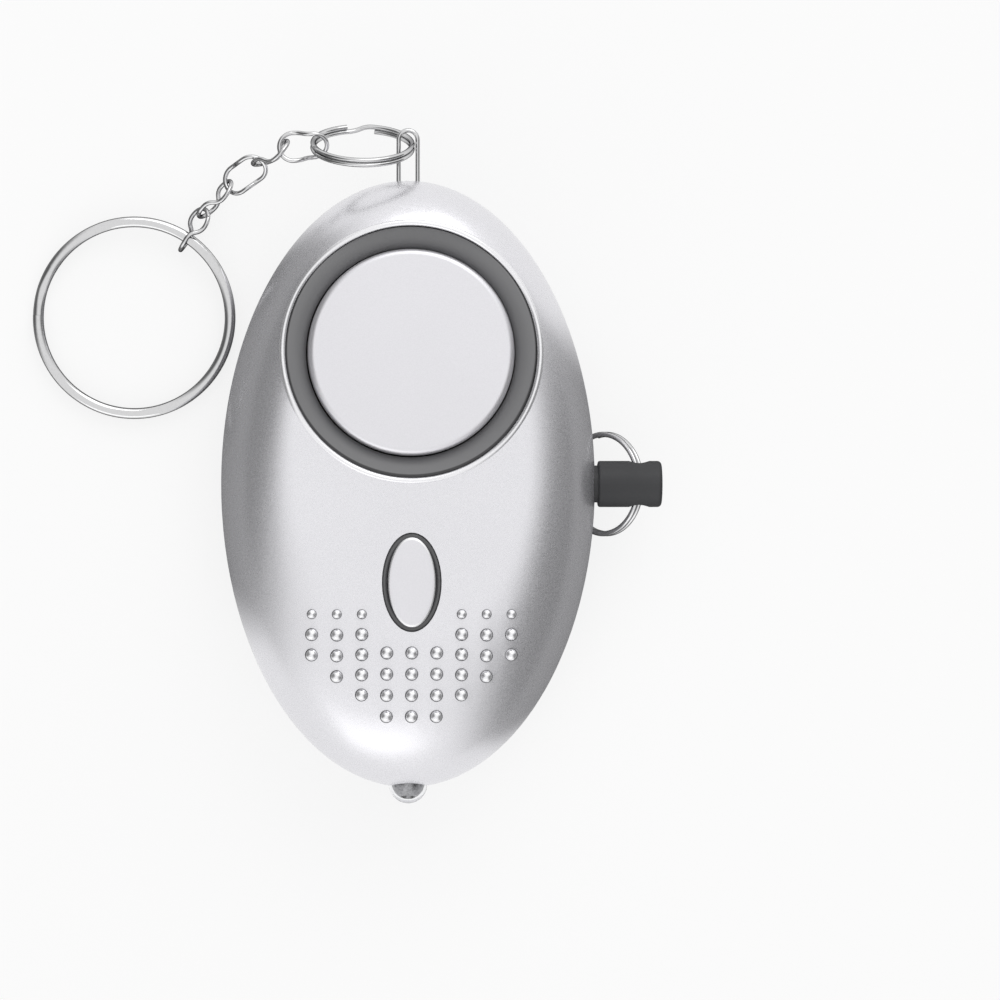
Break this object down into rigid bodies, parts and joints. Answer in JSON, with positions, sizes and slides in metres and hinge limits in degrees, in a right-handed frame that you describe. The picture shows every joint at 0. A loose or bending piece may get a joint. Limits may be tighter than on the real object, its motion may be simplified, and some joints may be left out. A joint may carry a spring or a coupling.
{
  "type": "personal safety alarm",
  "caption": "Egg-shaped pocket siren with a pull pin, a push button, an end lamp, and a twisted chain with split rings.",
  "frame": {"origin": "middle of the case's flat back face", "axes": "+Z out of the front face, +Y towards the wire bail, +X towards the pull pin"},
  "size_m": [0.0933, 0.101, 0.0247],
  "materials": {
    "silver_case": "metallic silver lacquer over moulded plastic",
    "silver_cap": "smooth silver lacquer",
    "grey_surround": "satin dark grey moulding",
    "light_grey_button": "satin",
    "dark_trim": "satin",
    "charcoal_pin": "satin charcoal moulding",
    "clear_lamp": "clear resin",
    "bright_wire": "bright nickel plate",
    "white_moulding": "natural moulding",
    "black_moulding": "black moulding",
    "sounder_brass": "rolled sheet",
    "sounder_ceramic": "silvered ceramic",
    "board_laminate": "green solder mask",
    "resistor_black": "glazed",
    "coil_ferrite": "ferrite",
    "coil_copper": "enamelled copper windings",
    "capacitor_can": "plain can",
    "bare_steel": "zinc plated",
    "cell_steel": "plated steel can",
    "lead_insulation": "soft insulation"
  },
  "bodies": {
    "case": {"front_shell": "silver_case", "rear_shell": "silver_case", "speaker_surround": "grey_surround", "speaker_cap": "silver_cap", "resonator_cup": "black_moulding", "piezo_disc": "sounder_brass", "piezo_ceramic": "sounder_ceramic", "sounder_clamp_ring": "black_moulding", "piezo_leads": "lead_insulation", "circuit_board": "board_laminate", "driver_chip": "black_moulding", "switching_transistor": "black_moulding", "chip_resistors": "resistor_black", "coil_core": "coil_ferrite", "step_up_coil": "coil_copper", "smoothing_capacitor": "capacitor_can", "tact_switch_base": "black_moulding", "button_trim": "dark_trim", "led_lamp": "clear_lamp", "led_leads": "bare_steel", "battery_holder": "white_moulding", "battery_leads": "lead_insulation", "battery_contact_plus": "bare_steel", "battery_contact_minus": "bare_steel", "pin_socket": "white_moulding", "pin_contact_upper": "sounder_brass", "pin_contact_lower": "sounder_brass", "case_screws": "bare_steel", "board_screws": "bare_steel", "wire_bail": "bright_wire", "button_cell_1": "cell_steel", "button_cell_2": "cell_steel", "button_cell_3": "cell_steel"},
    "pull_pin": {"pull_pin": "charcoal_pin"},
    "pin_ring": {"pin_split_ring": "bright_wire"},
    "light_button": {"light_button": "light_grey_button"},
    "switch_plunger": {"switch_plunger": "black_moulding"},
    "top_ring": {"top_split_ring": "bright_wire"},
    "link_a": {"link_a": "bright_wire"},
    "link_b": {"link_b": "bright_wire"},
    "link_c": {"link_c": "bright_wire"},
    "link_d": {"link_d": "bright_wire"},
    "link_e": {"link_e": "bright_wire"},
    "key_ring": {"key_split_ring": "bright_wire"}
  },
  "joints": [
    {"name": "pin_pull", "type": "slide", "parent": "case", "child": "pull_pin", "axis": [1, 0, 0], "range_m": [0, 0.018]},
    {"name": "pin_ring_swing", "type": "hinge", "parent": "pull_pin", "child": "pin_ring", "pos_m": [0.03436, 0, 0.0119], "axis": [0, -1, 0], "range_deg": [-4, 255]},
    {"name": "button_press", "type": "slide", "parent": "case", "child": "light_button", "axis": [0, 0, -1], "range_m": [0, 0.0005], "stiffness_N_per_m": 400},
    {"name": "switch_press", "type": "slide", "parent": "case", "child": "switch_plunger", "axis": [0, 0, -1], "range_m": [0, 0.0005]},
    {"name": "top_ring_swing", "type": "hinge", "parent": "case", "child": "top_ring", "pos_m": [0, 0.05248, 0.0119], "axis": [1, 0, 0], "range_deg": [-66, 16]},
    {"name": "link_a_swing", "type": "hinge", "parent": "top_ring", "child": "link_a", "pos_m": [-0.01412, 0.0502, 0.0119], "axis": [0, -0.3746, 0.9272], "range_deg": [-60, 3]},
    {"name": "link_b_swing", "type": "hinge", "parent": "link_a", "child": "link_b", "pos_m": [-0.01913, 0.04985, 0.0119], "axis": [0.0695, -0.9938, 0.0872], "range_deg": [-30, 25]},
    {"name": "link_c_swing", "type": "hinge", "parent": "link_b", "child": "link_c", "pos_m": [-0.02214, 0.04752, 0.00714], "axis": [-0.7676, -0.0906, 0.6345], "range_deg": [-40, 3]},
    {"name": "link_d_swing", "type": "hinge", "parent": "link_c", "child": "link_d", "pos_m": [-0.02674, 0.04429, 0.00464], "axis": [0.4177, -0.8547, 0.3083], "range_deg": [-35, 30]},
    {"name": "link_e_swing", "type": "hinge", "parent": "link_d", "child": "link_e", "pos_m": [-0.03058, 0.03988, 0.00273], "axis": [-0.4558, 0.0049, 0.8901], "range_deg": [-40, 6]},
    {"name": "key_ring_swing", "type": "hinge", "parent": "link_e", "child": "key_ring", "pos_m": [-0.03246, 0.03666, 0.00245], "axis": [0.829, -0.5592, 0], "range_deg": [-25, 110]}
  ],
  "couplings": [
    {"joint": "switch_press", "follows": "button_press", "ratio": 1}
  ]
}
